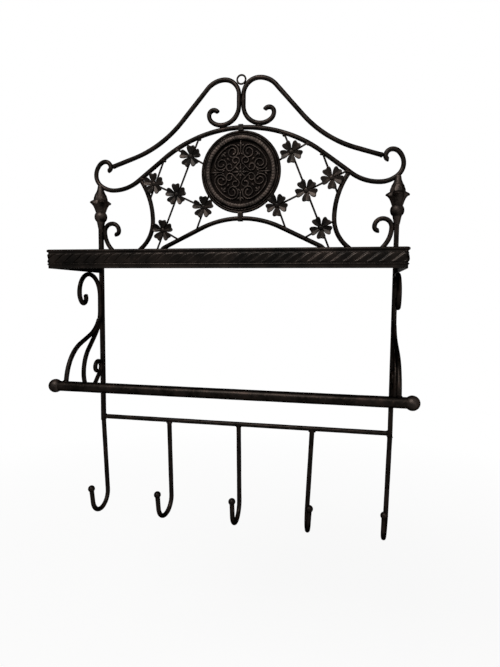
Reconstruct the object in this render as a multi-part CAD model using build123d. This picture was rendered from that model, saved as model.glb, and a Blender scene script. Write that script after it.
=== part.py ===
import os
from math import asin, cos, degrees, floor, radians, sin, sqrt, tan

from build123d import *

# Wall coat rack with shelf, of round and square iron bar with a cast medallion and a pressed shelf band.
# Millimetres, +Z up, the front faces -Y. The origin is the centre of the hanging eye, and the middle
# plane of the bars is y = 0. A bent bar is a list of runs (length,) and bends (radius, degrees), where
# a positive bend turns left.

# Stock sizes
rod_d = 6.0
upright_w = 6.0
lattice_d = 2.6
bar_d = 12.7
bar_wall = 1.5

# Overall places
upright_spacing = 400.0
shelf_top_z = -228.2
bar_z = -394.0
bar_depth = 96.0
rail_z = -455.0
upright_foot = 1.0
weld_gap = 0.02     # between a bar and the coped end of another one welded to it

# Hanging eye
eye_outer_d = 13.6
eye_bore_d = 9.6
eye_t = 2.0

# Crest arch: a round crown, a straight slope, a sway and a curl at each end
arch_apex_z = -60.5
arch_radius = 176.0
arch_slope = 37.0
sway_radius = 60.0
curl_inset = 21.0
curl_bends = [(32, 40), (18, 50), (21, 45), (11, 45), (8, 90), (4.5, 85)]

# Swan necks: a crook over the eye, a long sweep out to the arch's curl and a loop on the arch
crook_radius = 20.0
shoulder_radius = 30.0
neck_slope = 48.5
neck_run = 53.0
sweep_radius = 154.0
sweep_turn = 30.5
neck_tail = 32.0
loop_radius = 23.5
loop_bends = [(20, 40), (11, 50), (6.5, 150)]

# Medallion: a rod hoop round a cast rim with scrollwork raised on a thin plate
hoop_rod_d = 3.6
hoop_outer_r = 53.5
flange_w = 2.6
flange_t = 2.0
rim_w = 6.5
rim_h = 5.0
rim_bevel = 1.6
recess_w = 4.0
tracery_t = 2.4
plate_t = 0.9
strap_w = 1.7
stem_w = 2.0
facet_turn = 30.0
scroll_angle = 27.0
scroll_eye_r = 7.0
scroll_coils = [(1, 180), (0.74, 180), (0.5, 130)]     # share of the eye's radius, degrees
leaf_l = 5.0
leaf_w = 2.4
leaf_turns = [-60, 0, 60]
lily_turns = [-40, 40]
curl_seat = 15.2
curl_angle = 28.0
curl_r = 4.6
curl_coils = [(1, 180), (0.7, 140)]
flower_lobe_r = 2.6
collar_w = 6.0
collar_wall = 0.8
hoop_top_gap = 0.5
hoop_low_gap = 3.5

# Lower arch, side arcs and small scrolls between the crest and the shelf
low_arch_radius = 125.0
low_arch_slope = 25.6
low_foot_x = 112.0
low_foot_radius = 12.0
side_arc_x = 122.7
side_arc_rise = 51.0
side_arc_upper_r = 100.0
side_arc_upper_turn = 52.0
side_arc_lower_r = 47.0
side_arc_lower_turn = 48.0
small_scroll_rise = 38.0
small_scroll_foot_r = 35.0
small_scroll_foot_turn = 42.0
small_scroll_bends = [(11, 90), (10, 90), (5, 100)]

# Lattice wires: where each one leaves its two carriers
wire_a_top_x = 56.5
wire_a_foot_x = 122.0
wire_b_top_x = 105.5
wire_b_foot_rise = 80.0
wire_c_angle = -33.5
wire_c_foot_x = 61.0
wire_d_top_x = 139.0
wire_d_slope = 25.0
wire_e_top_x = 88.5
wire_e_angle = 13.5
wire_f_top_rise = 47.0
wire_f_foot_x = 85.0

# Sheet flowers with notched petals
petal_count = 5
petal_lobe_r = 3.4
petal_lobe_sides = 10
petal_reach = 11.6
petal_spread = 13.5
petal_t = 1.2
petal_lift = 14.0
flower_boss_d = 7.0
flower_boss_h = 2.2

# Finials on the uprights
finial_h = 52.0
finial_ball_d = 17.5
finial_waist_r = 6.6
calyx_r = 15.0
calyx_z = 28.0
calyx_flare = 1.3
calyx_lip = 3.0
calyx_leaves = 4
calyx_notch_r = 6.0
bud_root_r = 7.4
bud_root = 2.0
bud_belly_r = 9.8
bud_belly_z = 31.5
bud_shoulder_r = 7.6
bud_shoulder_z = 39.7
bud_hollow = 0.2
bud_neck_r = 4.2
bud_neck_z = 49.0
bud_flats = 14.0     # across the four flats between the bud's petals
finial_turns = [0, 45]     # degrees the right and the left finial are turned on their uprights

# Shelf: a sheet panel in a pressed band round the front and both ends
shelf_w = 407.0
shelf_depth = 129.0
band_h = 21.6
band_t = 1.5
bead_r = 1.5
low_bead_r = 1.0
low_bead_drop = 16.9
band_corner_r = 4.0
panel_t = 1.5
panel_drop = 2.0
rope_drop = 5.2
rope_h = 9.6
rope_pitch = 12.2
rope_gap = 0.5
rope_lean = 38.0
rope_proud = 1.4

# Brackets under the shelf
bracket_seat_run = 18.0
bracket_top_bends = [(29, 90), (25, 90), (16, 50), (6.5, 130)]
stem_bend_radius = 50.0
stem_lean = 46.0
stem_run = 25.0
bracket_low_bends = [(45, 46), (30, 40), (9, 50), (26, 45)]
low_rise_radius = 11.0
low_curl_bends = [(8, 90), (8, 90), (5, 90)]
leg_lean = 10.0
leg_radius = 55.0
leg_turn = 60.0
leg_stand = 2.0

# Towel bar ends
ball_d = 17.0
ball_gap = 2.5     # between a bracket leg and the ball beside it
ball_socket = 4.5

# Hook rail and hooks
hook_d = 6.5
hook_lean = 3.0
hook_bottom_z = -586.0
hook_bend_r = 20.0
hook_flare = 8.0
hook_tip_run = 20.0
hook_ball_d = 9.5
hook_turns = [3, 6, 1, -7, 7.5]     # degrees each hook is turned to the left, as welded
hook_tilts = [0.9, 0.1, 0.2, -2.2, -1.3]     # degrees each shank hangs out to the right

half = upright_spacing / 2
rod_r = rod_d / 2
upright_r = upright_w / 2
panel_top_z = shelf_top_z - panel_drop
FRONT = Plane.XZ


def heading(angle):
    """Unit vector at an angle in degrees from the drawing plane's first axis."""
    return Vector(cos(radians(angle)), sin(radians(angle)))


def chain(start, way, bends):
    """Edges of a bar's centre line, tangent all along, from a point and a direction."""
    edges = []
    for bend in bends:
        if len(bend) == 1:
            edge = Line(start, start + way * bend[0])
        else:
            edge = JernArc(start, way, bend[0], bend[1])
        edges.append(edge)
        start = edge @ 1
        way = edge % 1
    return edges


def turned(bends):
    """The same bends to the other side."""
    return [bend if len(bend) == 1 else (bend[0], -bend[1]) for bend in bends]


def both_ways(start, way, ahead, behind):
    """Edges of a bar that runs from a known point both along its direction and back from it."""
    tail = chain(start, way * -1, behind)
    return chain(tail[-1] @ 1, (tail[-1] % 1) * -1, turned(behind[::-1]) + ahead)


def rod(plane, edges, diameter=rod_d):
    """Round bar along a centre line drawn in a plane."""
    path = plane * Wire(edges)
    section = Plane(origin=path @ 0, z_dir=path % 0) * Circle(diameter / 2)
    return sweep(section, path=path).solid()


def coped(piece, *carriers):
    """What is left of a piece, as one solid, once it is cut back to the faces that carry it."""
    for carrier in carriers:
        piece = piece - carrier
    return max(piece.solids(), key=lambda solid: solid.volume)


def standing(piece, floor_z):
    """A piece cut off level at the height it stands on."""
    return split(piece, bisect_by=Plane.XY.offset(floor_z), keep=Keep.TOP).solid()


def straight(plane, start, end, diameter):
    """Round wire from one point of a drawing plane to another."""
    return rod(plane, [Line(start, end)], diameter)


def crossing(first, second):
    """Where two lines of a drawing plane meet, each given by two points."""
    a, b = first
    c, d = second
    u = b - a
    v = d - c
    w = c - a
    return a + u * ((w.X * v.Y - w.Y * v.X) / (u.X * v.Y - u.Y * v.X))


def side_plane(x):
    """Drawing plane across the rack at x: first axis forwards from the bars, second axis up."""
    return Plane(origin=(x, 0, 0), x_dir=(0, -1, 0), z_dir=(-1, 0, 0))


# Crest arch
sway = arch_radius + sway_radius
arch_run = (half - curl_inset - sway * sin(radians(arch_slope))) / cos(radians(arch_slope))
arch_bottom_z = arch_apex_z - sway * (1 - cos(radians(arch_slope))) - arch_run * sin(radians(arch_slope))
arch_half = [(arch_radius, -arch_slope), (arch_run,), (sway_radius, arch_slope)] + curl_bends
arch_line = both_ways(Vector(0, arch_apex_z), heading(0), arch_half, turned(arch_half))
crest_arch = rod(FRONT, arch_line)
arch_room = rod(FRONT, arch_line, rod_d + 2 * weld_gap)


def arch_point(x):
    """Point of the arch's centre line at a distance from the middle, on the crown or the slope."""
    slope_x = arch_radius * sin(radians(arch_slope))
    if x < slope_x:
        return Vector(x, arch_apex_z - arch_radius + sqrt(arch_radius ** 2 - x ** 2))
    slope_z = arch_apex_z - arch_radius * (1 - cos(radians(arch_slope)))
    return Vector(x, slope_z - (x - slope_x) * tan(radians(arch_slope)))


# Hanging eye, cradled where the two swan necks part
hanging_eye = FRONT * (Cylinder(eye_outer_d / 2, eye_t) - Cylinder(eye_bore_d / 2, eye_t))

# Swan necks: the two touch along the middle, and each one's loop sits on the arch
crook_x = rod_r + crook_radius
crook_z = -sqrt((crook_x + eye_outer_d / 2) ** 2 - crook_x ** 2)
loop_x = rod_r + loop_radius
arch_to_loop = arch_radius + rod_d + loop_radius
loop_z = arch_apex_z - arch_radius + sqrt(arch_to_loop ** 2 - loop_x ** 2)
neck_ahead = [(crook_z - loop_z,), (crook_radius, -90), (shoulder_radius, -neck_slope), (neck_run,),
              (sweep_radius, sweep_turn), (neck_tail,)]
neck_behind = [(loop_radius, 90)] + loop_bends
neck_bar = rod(FRONT, both_ways(Vector(rod_r, loop_z), heading(90), neck_ahead, neck_behind))
swan_neck = coped(neck_bar, crest_arch)

# Shelf panel: fits inside the band and passes back between the uprights
band_x = shelf_w / 2 - bead_r
band_y = shelf_depth - bead_r
panel_front = Pos(0, (upright_r + band_y - band_t) / -2) * Box(
    2 * (band_x - band_t), band_y - band_t - upright_r, panel_t)
front_corners = panel_front.edges().filter_by(Axis.Z).group_by(Axis.Y)[0]
panel_front = fillet(front_corners, band_corner_r - band_t)
panel_back = Box(upright_spacing - upright_w, upright_w, panel_t)
shelf_panel = (Pos(0, 0, panel_top_z - panel_t / 2) * (panel_front + panel_back)).solid()

# Shelf band: beaded strip with a row of slanted rope strands, bent round the two front corners
band_path = FilletPolyline(
    (band_x, -upright_r), (band_x, -band_y), (-band_x, -band_y), (-band_x, -upright_r),
    radius=band_corner_r)
low_bead_top = -low_bead_drop + low_bead_r
low_bead_foot = -low_bead_drop - low_bead_r
band_outline = Polyline((0, 0), (-band_t, 0), (-band_t, -band_h), (0, -band_h), (0, low_bead_foot))
low_bead = ThreePointArc((0, low_bead_foot), (low_bead_r, -low_bead_drop), (0, low_bead_top))
band_face = Line((0, low_bead_top), (0, -2 * bead_r))
top_bead = ThreePointArc((0, -2 * bead_r), (bead_r, -bead_r), (0, 0))
band_section = make_face([*band_outline.edges(), low_bead, band_face, top_bead])
band_start = Plane(origin=(band_x, -upright_r, shelf_top_z), x_dir=(1, 0, 0), z_dir=(0, -1, 0))
band_strip = sweep(band_start * band_section, path=Pos(0, 0, shelf_top_z) * band_path)

strand_w = rope_pitch * sin(radians(rope_lean)) - rope_gap
strand_r = (strand_w ** 2 / 4 + rope_proud ** 2) / (2 * rope_proud)
strand_l = 3 * rope_h / sin(radians(rope_lean))
strand_bar = Pos(0, 0, rope_proud - strand_r) * Rot(0, 0, rope_lean) * Rot(0, 90, 0) * Cylinder(
    strand_r, strand_l)
strand_room = Pos(0, 0, rope_proud / 2) * Box(strand_l, rope_h, rope_proud)
strand = strand_bar & strand_room
rope_z = shelf_top_z - rope_drop - rope_h / 2


def strands(centre, along, outward, length):
    """Rope strands spread evenly over a straight face of the band."""
    reach = rope_h / tan(radians(rope_lean)) + strand_w / sin(radians(rope_lean))
    count = 1 + floor((length - reach) / rope_pitch)
    face = Plane(origin=centre, x_dir=along, z_dir=outward)
    return [face * Pos((i - (count - 1) / 2) * rope_pitch) * strand for i in range(count)]


end_l = band_y - band_corner_r - upright_r
end_y = (band_y - band_corner_r + upright_r) / -2
rope = strands((0, -band_y, rope_z), (1, 0, 0), (0, -1, 0), 2 * (band_x - band_corner_r))
rope += strands((band_x, end_y, rope_z), (0, 1, 0), (1, 0, 0), end_l)
rope += strands((-band_x, end_y, rope_z), (0, -1, 0), (-1, 0, 0), end_l)
shelf_band = band_strip.fuse(*rope).solid()

# Medallion hoop, hung from the arch
medallion_z = arch_apex_z - rod_r - hoop_top_gap - hoop_outer_r
hoop_r = hoop_outer_r - hoop_rod_d / 2
MEDALLION = Plane(origin=(0, 0, medallion_z), x_dir=(1, 0, 0), z_dir=(0, -1, 0))
medallion_hoop = MEDALLION * Torus(hoop_r, hoop_rod_d / 2)

# Medallion casting: a domed rim between a thin flange and a recess, round the scrollwork and its plate
flange_r = hoop_outer_r - hoop_rod_d
rim_outer_r = flange_r - flange_w
rim_inner_r = rim_outer_r - rim_w
tracery_r = rim_inner_r - recess_w
back = -flange_t / 2
front = flange_t / 2
rim_section = make_face([
    Polyline((rim_outer_r, front), (flange_r, front), (flange_r, back), (tracery_r, back),
             (tracery_r, back + tracery_t), (rim_inner_r, back + tracery_t)),
    Polyline((rim_inner_r, back + tracery_t), (rim_inner_r + rim_bevel, back + rim_h),
             (rim_outer_r - rim_bevel, back + rim_h), (rim_outer_r, front))])
rim = revolve(MEDALLION * (Plane.XZ * rim_section), axis=Axis(MEDALLION.origin, MEDALLION.z_dir))


def strap(edges, width=strap_w):
    """Flat strip of the scrollwork along a centre line, its curves in short facets."""
    points = [edges[0] @ 0]
    for edge in edges:
        bend = 0 if edge.geom_type == GeomType.LINE else degrees(edge.length / edge.radius)
        steps = max(1, round(bend / facet_turn))
        points += [edge @ ((i + 1) / steps) for i in range(steps)]
    return trace(Polyline(*points), width)


def leaf(length, width):
    """Pointed leaf along the first axis, between two equal arcs."""
    bulge = ThreePointArc((0, 0), (length / 2, width / 2), (length, 0))
    return make_face([bulge, mirror(bulge, about=Plane.XZ)])


overlap = strap_w / 4
scroll_back_r = tracery_r - strap_w / 2 + overlap
diagonal = heading(45)
across = heading(135)
scroll_half = [(scroll_back_r, 45 - scroll_angle)]
scroll_half += [(scroll_eye_r * share, turn) for share, turn in scroll_coils]
outer_scroll = strap(both_ways(diagonal * scroll_back_r, across, scroll_half, turned(scroll_half)))
curl_back = curl_seat * cos(radians(45 - curl_angle)) - curl_r
curl_half = [(curl_seat * sin(radians(45 - curl_angle)),)]
curl_half += [(curl_r * share, -turn) for share, turn in curl_coils]
inner_scroll = strap(both_ways(diagonal * curl_back, across, curl_half, turned(curl_half)))
spoke = strap([Line((0, 0), diagonal * curl_back)])
stem = strap([Line((0, 0), (tracery_r + overlap, 0))], stem_w)
leaf_root = tracery_r - leaf_l
leaves = [Rot(0, 0, 45) * Pos(leaf_root + overlap) * Rot(0, 0, turn) * leaf(leaf_l, leaf_w)
          for turn in leaf_turns]
lilies = [Pos(leaf_root) * Rot(0, 0, turn) * leaf(leaf_l, leaf_w) for turn in lily_turns]
lobe = Pos(2 * flower_lobe_r) * Circle(flower_lobe_r)
quarter = [outer_scroll, inner_scroll, spoke, stem, lobe, Rot(0, 0, 45) * Pos(scroll_back_r - leaf_l) *
           leaf(leaf_l + overlap, leaf_w)] + leaves + lilies
scrollwork = Sketch() + [Rot(0, 0, turn) * piece for turn in (0, 90, 180, 270) for piece in quarter]
scrollwork += Circle(flower_lobe_r)
tracery = MEDALLION * Pos(0, 0, back) * extrude(scrollwork, tracery_t)
plate = MEDALLION * Pos(0, 0, back) * extrude(Circle(tracery_r + overlap), plate_t)
medallion = (rim + plate + tracery).solid()

# Lower arch under the medallion, its feet bent down to the shelf
low_arch_z = medallion_z - hoop_outer_r - hoop_low_gap - rod_r
low_slope = radians(low_arch_slope)
low_bend_x = low_foot_x - low_foot_radius * (1 - sin(low_slope))
low_run = (low_bend_x - low_arch_radius * sin(low_slope)) / cos(low_slope)
low_bend_z = low_arch_z - low_arch_radius * (1 - cos(low_slope)) - low_run * sin(low_slope)
low_leg = low_bend_z - low_foot_radius * cos(low_slope) - panel_top_z
low_half = [(low_arch_radius, -low_arch_slope), (low_run,)]
low_half += [(low_foot_radius, low_arch_slope - 90), (low_leg,)]
lower_arch = rod(FRONT, both_ways(Vector(0, low_arch_z), heading(0), low_half, turned(low_half)))


def low_arch_point(x):
    """Point of the lower arch's centre line at a distance from the middle, short of its feet."""
    slope_x = low_arch_radius * sin(low_slope)
    if x < slope_x:
        return Vector(x, low_arch_z - low_arch_radius + sqrt(low_arch_radius ** 2 - x ** 2))
    slope_z = low_arch_z - low_arch_radius * (1 - cos(low_slope))
    return Vector(x, slope_z - (x - slope_x) * tan(low_slope))


# Collars that bind the hoop to the two arches, from round each arch to the middle of the hoop's rod


def collar(low_z, high_z, *bound):
    """Band of iron wrapped round bars that run side by side."""
    block = Pos(0, 0, (low_z + high_z) / 2) * Box(collar_w, rod_d + 2 * collar_wall, high_z - low_z)
    block = fillet(block.edges().filter_by(Axis.X), rod_r / 2)
    return coped(block, *bound)


top_collar = collar(medallion_z + hoop_r, arch_apex_z + rod_r + collar_wall, crest_arch, medallion_hoop)
bottom_collar = collar(low_arch_z - rod_r - collar_wall, medallion_z - hoop_r, lower_arch, medallion_hoop)

# Side arcs from the crest arch down to the shelf
side_arc_z = panel_top_z + side_arc_rise
side_arc_drop = side_arc_rise - side_arc_lower_r * sin(radians(side_arc_lower_turn))
side_arc_tail = (side_arc_drop + rod_d) / cos(radians(side_arc_lower_turn))
side_arc_bar = rod(FRONT, both_ways(
    Vector(side_arc_x, side_arc_z), heading(90), [(side_arc_upper_r, -side_arc_upper_turn)],
    [(side_arc_lower_r, side_arc_lower_turn), (side_arc_tail,)]))
side_arc = coped(standing(side_arc_bar, panel_top_z), arch_room)

# Small scrolls that lean on the uprights
small_x = half - upright_r - rod_r
small_drop = small_scroll_rise - small_scroll_foot_r * sin(radians(small_scroll_foot_turn))
small_tail = (small_drop + rod_d) / cos(radians(small_scroll_foot_turn))
small_bar = rod(FRONT, both_ways(
    Vector(small_x, panel_top_z + small_scroll_rise), heading(90), small_scroll_bends,
    [(small_scroll_foot_r, -small_scroll_foot_turn), (small_tail,)]))
small_scroll = standing(small_bar, panel_top_z)


def side_arc_point(rise):
    """Point of the side arc's centre line at a height over the shelf panel."""
    lift = rise - side_arc_rise
    radius = side_arc_upper_r if lift > 0 else side_arc_lower_r
    return Vector(side_arc_x + radius - sqrt(radius ** 2 - lift ** 2), panel_top_z + rise)


# Lattice wires: the steep ones in the middle plane, the cross ones in front of them
centre = Vector(0, medallion_z)
wire_a = (arch_point(wire_a_top_x), Vector(wire_a_foot_x, panel_top_z))
wire_b = (arch_point(wire_b_top_x), side_arc_point(wire_b_foot_rise))
wire_c = (centre + heading(wire_c_angle) * hoop_r, low_arch_point(wire_c_foot_x))
wire_d_top = arch_point(wire_d_top_x)
wire_d_line = (wire_d_top, wire_d_top - heading(wire_d_slope) * half)
wire_d_cross = crossing(wire_d_line, wire_c)
wire_cross_d = (wire_d_top, wire_d_cross - heading(wire_d_slope) * 2 * lattice_d)
wire_e = (arch_point(wire_e_top_x), centre + heading(wire_e_angle) * hoop_r)
wire_f = (side_arc_point(wire_f_top_rise), low_arch_point(wire_f_foot_x))
CROSS = FRONT.offset(lattice_d)
carriers = [crest_arch, lower_arch, side_arc, medallion_hoop]
steep_wires = [standing(coped(straight(FRONT, *wire_a, lattice_d), *carriers), panel_top_z),
               coped(straight(FRONT, *wire_b, lattice_d), *carriers),
               coped(straight(FRONT, *wire_c, lattice_d), *carriers)]
cross_wires = [coped(straight(CROSS, *wire, lattice_d), *carriers)
               for wire in (wire_cross_d, wire_e, wire_f)]

# Flowers: notched petals lifted round a boss, set on the crossings of the wires
lobe_place = Pos(petal_reach * cos(radians(petal_spread)), petal_reach * sin(radians(petal_spread)))
petal_lobe = lobe_place * RegularPolygon(petal_lobe_r, petal_lobe_sides)
drop = make_hull([*petal_lobe.edges(), *Rectangle(flower_boss_d / 2, flower_boss_d / 4).edges()])
petal_root = flower_boss_d / 2 * sin(radians(petal_lift))
flat_petal = extrude(drop + mirror(drop, about=Plane.XZ), petal_t)
petal = Pos(0, 0, petal_root) * Rot(0, -petal_lift, 0) * flat_petal
boss = extrude(RegularPolygon(flower_boss_d / 2, 2 * petal_count), flower_boss_h)
flower = (boss + [Rot(0, 0, 360 * i / petal_count) * petal for i in range(petal_count)]).solid()
flower_front = lattice_d + lattice_d / 2
flower_places = [crossing(wire_a, wire_e), crossing(wire_b, wire_cross_d), crossing(wire_a, wire_cross_d),
                 wire_d_cross, crossing(wire_a, wire_f)]

# Uprights, each under a finial that reaches the arch's curl
curl_r_first = curl_bends[0][0]
curl_over_upright_z = arch_bottom_z + curl_r_first - sqrt(curl_r_first ** 2 - curl_inset ** 2)
upright_top_z = curl_over_upright_z - finial_h
upright_foot_z = rail_z - hook_d / 2 - upright_foot
upright = Pos(half, 0, (upright_top_z + upright_foot_z) / 2) * Box(
    upright_w, upright_w, upright_top_z - upright_foot_z)
ball_r = finial_ball_d / 2
ball_z = sqrt(ball_r ** 2 - upright_r ** 2)
waist_z = ball_z + sqrt(ball_r ** 2 - finial_waist_r ** 2)
cup_z = calyx_z - calyx_lip
calyx_middle = ((finial_waist_r + calyx_r) / 2 - calyx_flare, (waist_z + calyx_z) / 2 + calyx_flare)
cup_outline = [
    Polyline((0, cup_z), (0, 0), (upright_r, 0)),
    ThreePointArc((upright_r, 0), (ball_r, ball_z), (finial_waist_r, waist_z)),
    ThreePointArc((finial_waist_r, waist_z), calyx_middle, (calyx_r, calyx_z)),
    Polyline((calyx_r, calyx_z), (bud_root_r, cup_z), (0, cup_z)),
]
notch = Pos(calyx_r, 0, calyx_z) * Rot(0, 90, 0) * Cylinder(calyx_notch_r, calyx_r - bud_root_r)
cup = revolve(Plane.XZ * make_face(cup_outline), axis=Axis.Z)
cup -= [Rot(0, 0, 360 * (i + 0.5) / calyx_leaves) * notch for i in range(calyx_leaves)]

bud_foot_z = cup_z - bud_root
bud_waist = ((bud_shoulder_r + bud_neck_r) / 2 - bud_hollow, (bud_shoulder_z + bud_neck_z) / 2 - bud_hollow)
bud_outline = [
    Polyline((bud_neck_r, bud_neck_z), (bud_neck_r, finial_h), (0, finial_h), (0, bud_foot_z),
             (bud_root_r, bud_foot_z)),
    ThreePointArc((bud_root_r, bud_foot_z), (bud_belly_r, bud_belly_z), (bud_shoulder_r, bud_shoulder_z)),
    ThreePointArc((bud_shoulder_r, bud_shoulder_z), bud_waist, (bud_neck_r, bud_neck_z)),
]
bud = revolve(Plane.XZ * make_face(bud_outline), axis=Axis.Z)
bud &= Rot(0, 0, 180 / calyx_leaves) * Box(bud_flats, bud_flats, 2 * finial_h)
finials = [coped(Pos(x, 0, upright_top_z) * Rot(0, 0, turn) * (cup + bud), crest_arch)
           for x, turn in zip((half, -half), finial_turns)]

# Towel bar: a tube socketed into a ball at each end
ball_x = half + rod_r + ball_gap + ball_d / 2
bar_l = 2 * (ball_x - ball_socket)
BAR = Plane(origin=(0, -bar_depth, bar_z), z_dir=(1, 0, 0))
bar_solid = BAR * Cylinder(bar_d / 2, bar_l)
towel_bar = (bar_solid - BAR * Cylinder(bar_d / 2 - bar_wall, bar_l)).solid()
bar_ball = (Pos(ball_x, -bar_depth, bar_z) * Sphere(ball_d / 2) - bar_solid).solid()

# Brackets: a scroll from the shelf down the upright, and a leg out to the towel bar
SIDE = side_plane(half)
seat = upright_r + rod_r
band_step = max(0, band_x - band_t - half)
if band_step < rod_r:
    bracket_top_z = shelf_top_z - band_h - sqrt(rod_r ** 2 - band_step ** 2)
else:
    # a shelf wider than that has its band clear of the bar, which then comes up under the panel
    bracket_top_z = panel_top_z - panel_t - rod_r
seat_z = bracket_top_z - bracket_top_bends[0][0]
stem_down = [(bracket_seat_run,), (stem_bend_radius, stem_lean), (stem_run,)] + turned(bracket_low_bends)
low_rise = chain(Vector(seat, seat_z), heading(270), stem_down)[-1]
rise_way = low_rise % 1
rise_run = ((low_rise @ 1).X - seat - low_rise_radius * (1 - rise_way.Y)) / -rise_way.X
rise_turn = degrees(asin(-rise_way.X))
stem_down += [(rise_run,), (low_rise_radius, -rise_turn)] + turned(low_curl_bends)
scroll_line = both_ways(Vector(seat, seat_z), heading(90), turned(bracket_top_bends), stem_down)
bracket_scroll = rod(SIDE, scroll_line)
scroll_room = rod(SIDE, scroll_line, rod_d + 2 * weld_gap)

leg_bends = [(bar_d / 2 + leg_stand,), (leg_radius, leg_turn)]
leg_way = heading(90 + leg_lean)
leg_top = chain(Vector(bar_depth, bar_z), leg_way, leg_bends)[-1]
leg_reach = ((leg_top @ 1).X - seat) / -(leg_top % 1).X
leg_bar = rod(SIDE, chain(Vector(bar_depth, bar_z), leg_way, leg_bends + [(leg_reach,)]))
bracket_leg = coped(leg_bar, scroll_room, bar_solid)

# Hook rail and hooks: the outer hooks carry on from the uprights, the others hang from the rail
hook_rail = Pos(0, 0, rail_z) * Rot(0, 90, 0) * Cylinder(hook_d / 2, upright_spacing - upright_w)

hook_lean_turn = radians(hook_lean)
hook_shank = (rail_z - hook_bottom_z - hook_bend_r * (1 + sin(hook_lean_turn))) / cos(hook_lean_turn)
hook_line = chain(Vector(0, rail_z), heading(270 - hook_lean), [
    (hook_shank,), (hook_bend_r, 180 + hook_lean - hook_flare), (hook_tip_run,)])
MIDDLE = side_plane(0)
hook_tip = MIDDLE.from_local_coords(hook_line[-1] @ 1)
hook_bar = rod(MIDDLE, hook_line, hook_d) + Pos(hook_tip) * Sphere(hook_ball_d / 2)

nodes = {
    "hanging_eye": hanging_eye,
    "crest_arch": crest_arch,
    "lower_arch": lower_arch,
    "medallion_hoop": medallion_hoop,
    "medallion": medallion,
    "top_collar": top_collar,
    "bottom_collar": bottom_collar,
    "shelf_panel": shelf_panel,
    "shelf_band": shelf_band,
    "towel_bar": towel_bar,
    "hook_rail": hook_rail,
}


def turned_over(*solids):
    """Pieces of the right side, alike front and back, and the same ones turned half round to the left."""
    return Compound([*solids, *[Rot(0, 0, 180) * solid for solid in solids]])


def mirrored(*solids):
    """Pieces of the right side and their mirror images on the left."""
    return Compound([*solids, *[mirror(solid, about=Plane.YZ) for solid in solids]])


to_left = Pos(-upright_spacing)
nodes["right_upright"] = upright
nodes["left_upright"] = to_left * upright
nodes["swan_necks"] = turned_over(swan_neck)
nodes["side_arcs"] = turned_over(side_arc)
nodes["small_scrolls"] = turned_over(small_scroll)
nodes["finials"] = Compound(finials)
nodes["bracket_scrolls"] = Compound([bracket_scroll, to_left * bracket_scroll])
nodes["bracket_legs"] = Compound([bracket_leg, to_left * bracket_leg])
nodes["bar_balls"] = mirrored(bar_ball)
nodes["steep_wires"] = turned_over(*steep_wires)
nodes["cross_wires"] = mirrored(*cross_wires)


def set_flower(sign, place, petal_way):
    """A flower on a crossing of the right side or its mirror place, one petal turned the given way."""
    seat_plane = Plane(origin=(sign * place.X, -flower_front, place.Y), x_dir=(1, 0, 0), z_dir=(0, -1, 0))
    return seat_plane * Rot(0, 0, petal_way) * flower


nodes["flowers"] = Compound([set_flower(1, place, -90) for place in flower_places]
                            + [set_flower(-1, place, 90) for place in flower_places])

last_hook = len(hook_turns) - 1
for number, (turn, tilt) in enumerate(zip(hook_turns, hook_tilts)):
    hung = Pos(0, 0, rail_z) * Rot(0, -tilt, 0) * Rot(0, 0, -turn) * Pos(0, 0, -rail_z) * hook_bar
    if number in (0, last_hook):
        hung = split(hung, bisect_by=Plane.XY.offset(upright_foot_z), keep=Keep.BOTTOM).solid()
    else:
        hung = coped(hung, hook_rail)
    nodes[f"hook_{number + 1}"] = Pos(upright_spacing * (number / last_hook - 0.5)) * hung

os.makedirs("parts", exist_ok=True)
for name, shape in nodes.items():
    export_step(shape, f"parts/{name}.step")
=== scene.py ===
import bmesh
import bpy
import numpy as np
from mathutils import Matrix, Vector


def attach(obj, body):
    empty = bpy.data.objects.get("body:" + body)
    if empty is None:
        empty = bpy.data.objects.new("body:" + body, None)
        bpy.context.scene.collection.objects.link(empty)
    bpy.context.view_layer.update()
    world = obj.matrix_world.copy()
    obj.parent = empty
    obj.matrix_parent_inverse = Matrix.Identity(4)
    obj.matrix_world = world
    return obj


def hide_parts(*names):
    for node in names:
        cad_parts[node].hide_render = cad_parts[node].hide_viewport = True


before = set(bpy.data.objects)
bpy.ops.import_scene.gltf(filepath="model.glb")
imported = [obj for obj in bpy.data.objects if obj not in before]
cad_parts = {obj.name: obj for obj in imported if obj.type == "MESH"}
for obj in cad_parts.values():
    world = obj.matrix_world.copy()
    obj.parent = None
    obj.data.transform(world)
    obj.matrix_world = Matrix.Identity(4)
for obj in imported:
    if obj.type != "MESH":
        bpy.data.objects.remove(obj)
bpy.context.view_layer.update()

scatter = np.random.default_rng(11)
print("frame loaded, nodes:", len(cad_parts))

# All sizes below are millimetres in the rack's own frame: +Z up the wall, the front faces -Y,
# the hanging eye at the origin. A mesh is written in metres.
rack = {
    "half": 200.0,          # uprights, from the middle
    "rodRadius": 3.0,
    "wireRadius": 1.3,
    "shelfTop": -228.2,
    "panelTop": -230.2,
    "barHeight": -394.0,
    "barDepth": 96.0,
    "railHeight": -455.0,
    "hookRadius": 3.2,
    "uprightFoot": -459.25,
}


# Finishes

def linear(code):
    # sRGB to linear: v / 12.92 under 0.04045, ((v + 0.055) / 1.055) ^ 2.4 above
    v = np.array([int(code[i:i + 2], 16) for i in (1, 3, 5)]) / 255
    v = np.where(v <= 0.04045, v / 12.92, ((v + 0.055) / 1.055) ** 2.4)
    return (*v.tolist(), 1.0)


def addNode(tree, kind, settings=(), inputs=()):
    # an input is a plain value, or the output socket that feeds it
    node = tree.nodes.new(kind)
    for name, value in dict(settings).items():
        setattr(node, name, value)
    for name, value in dict(inputs).items():
        if isinstance(value, bpy.types.NodeSocket):
            tree.links.new(value, node.inputs[name])
        else:
            node.inputs[name].default_value = value
    return node


rubbedTint = "#302824"
toneStops = (0.34, 0.5, 0.68)


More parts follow.
